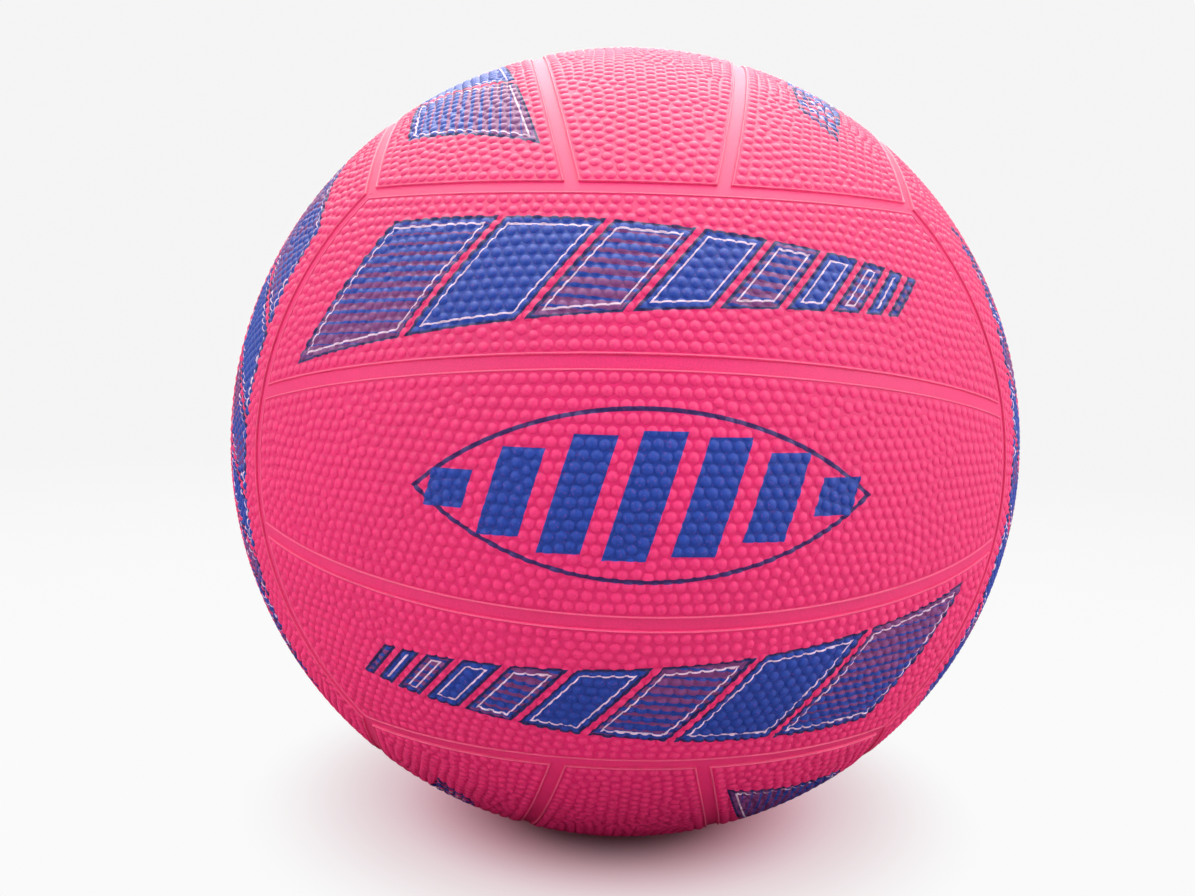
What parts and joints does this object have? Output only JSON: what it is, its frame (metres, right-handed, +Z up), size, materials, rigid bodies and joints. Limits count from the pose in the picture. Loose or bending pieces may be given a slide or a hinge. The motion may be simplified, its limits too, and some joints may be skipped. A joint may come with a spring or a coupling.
{
  "type": "netball",
  "caption": "Inflatable moulded rubber netball: pebbled cover panels parted by smooth channels, over a wound carcass and bladder with a removable needle valve plug.",
  "frame": {"origin": "centre of the ball", "axes": "+Z up, front face towards -Y, +Y out through the valve"},
  "size_m": [0.222, 0.2221, 0.222],
  "materials": {
    "cover": "matte pebbled pink rubber",
    "printed_cover": "matte pebbled pink rubber, printed in blue and purple ink",
    "channel": "smooth matte pink rubber",
    "carcass": "plain black rubber",
    "winding": "wound nylon thread",
    "bladder": "smooth butyl rubber",
    "valve_rubber": "smooth moulded rubber"
  },
  "bodies": {
    "ball": {"front_upper_panel": "printed_cover", "front_lower_panel": "printed_cover", "back_upper_panel": "printed_cover", "back_lower_panel": "printed_cover", "top_left_panel": "printed_cover", "top_right_panel": "printed_cover", "bottom_left_panel": "printed_cover", "bottom_right_panel": "printed_cover", "left_front_panel": "printed_cover", "left_rear_panel": "printed_cover", "right_front_panel": "printed_cover", "right_rear_panel": "printed_cover", "front_middle_panel": "cover", "back_middle_panel": "cover", "top_middle_panel": "cover", "bottom_middle_panel": "cover", "left_middle_panel": "cover", "right_middle_panel": "cover", "front_upper_seam_strip": "channel", "front_lower_seam_strip": "channel", "back_upper_seam_strip": "channel", "back_lower_seam_strip": "channel", "top_left_seam_strip": "channel", "top_right_seam_strip": "channel", "bottom_left_seam_strip": "channel", "bottom_right_seam_strip": "channel", "left_front_seam_strip": "channel", "left_rear_seam_strip": "channel", "right_front_seam_strip": "channel", "right_rear_seam_strip": "channel", "front_upper_edge_strip": "channel", "front_lower_edge_strip": "channel", "back_upper_edge_strip": "channel", "back_lower_edge_strip": "channel", "top_left_edge_strip": "channel", "top_right_edge_strip": "channel", "bottom_left_edge_strip": "channel", "bottom_right_edge_strip": "channel", "left_front_edge_strip": "channel", "left_rear_edge_strip": "channel", "right_front_edge_strip": "channel", "right_rear_edge_strip": "channel", "rubber_carcass": "carcass", "nylon_winding": "winding", "bladder": "bladder", "valve_seat": "valve_rubber"},
    "plug": {"valve_plug": "valve_rubber"}
  },
  "joints": [
    {"name": "plug_pull", "type": "slide", "parent": "ball", "child": "plug", "axis": [0, 1, 0], "range_m": [0, 0.025]}
  ]
}
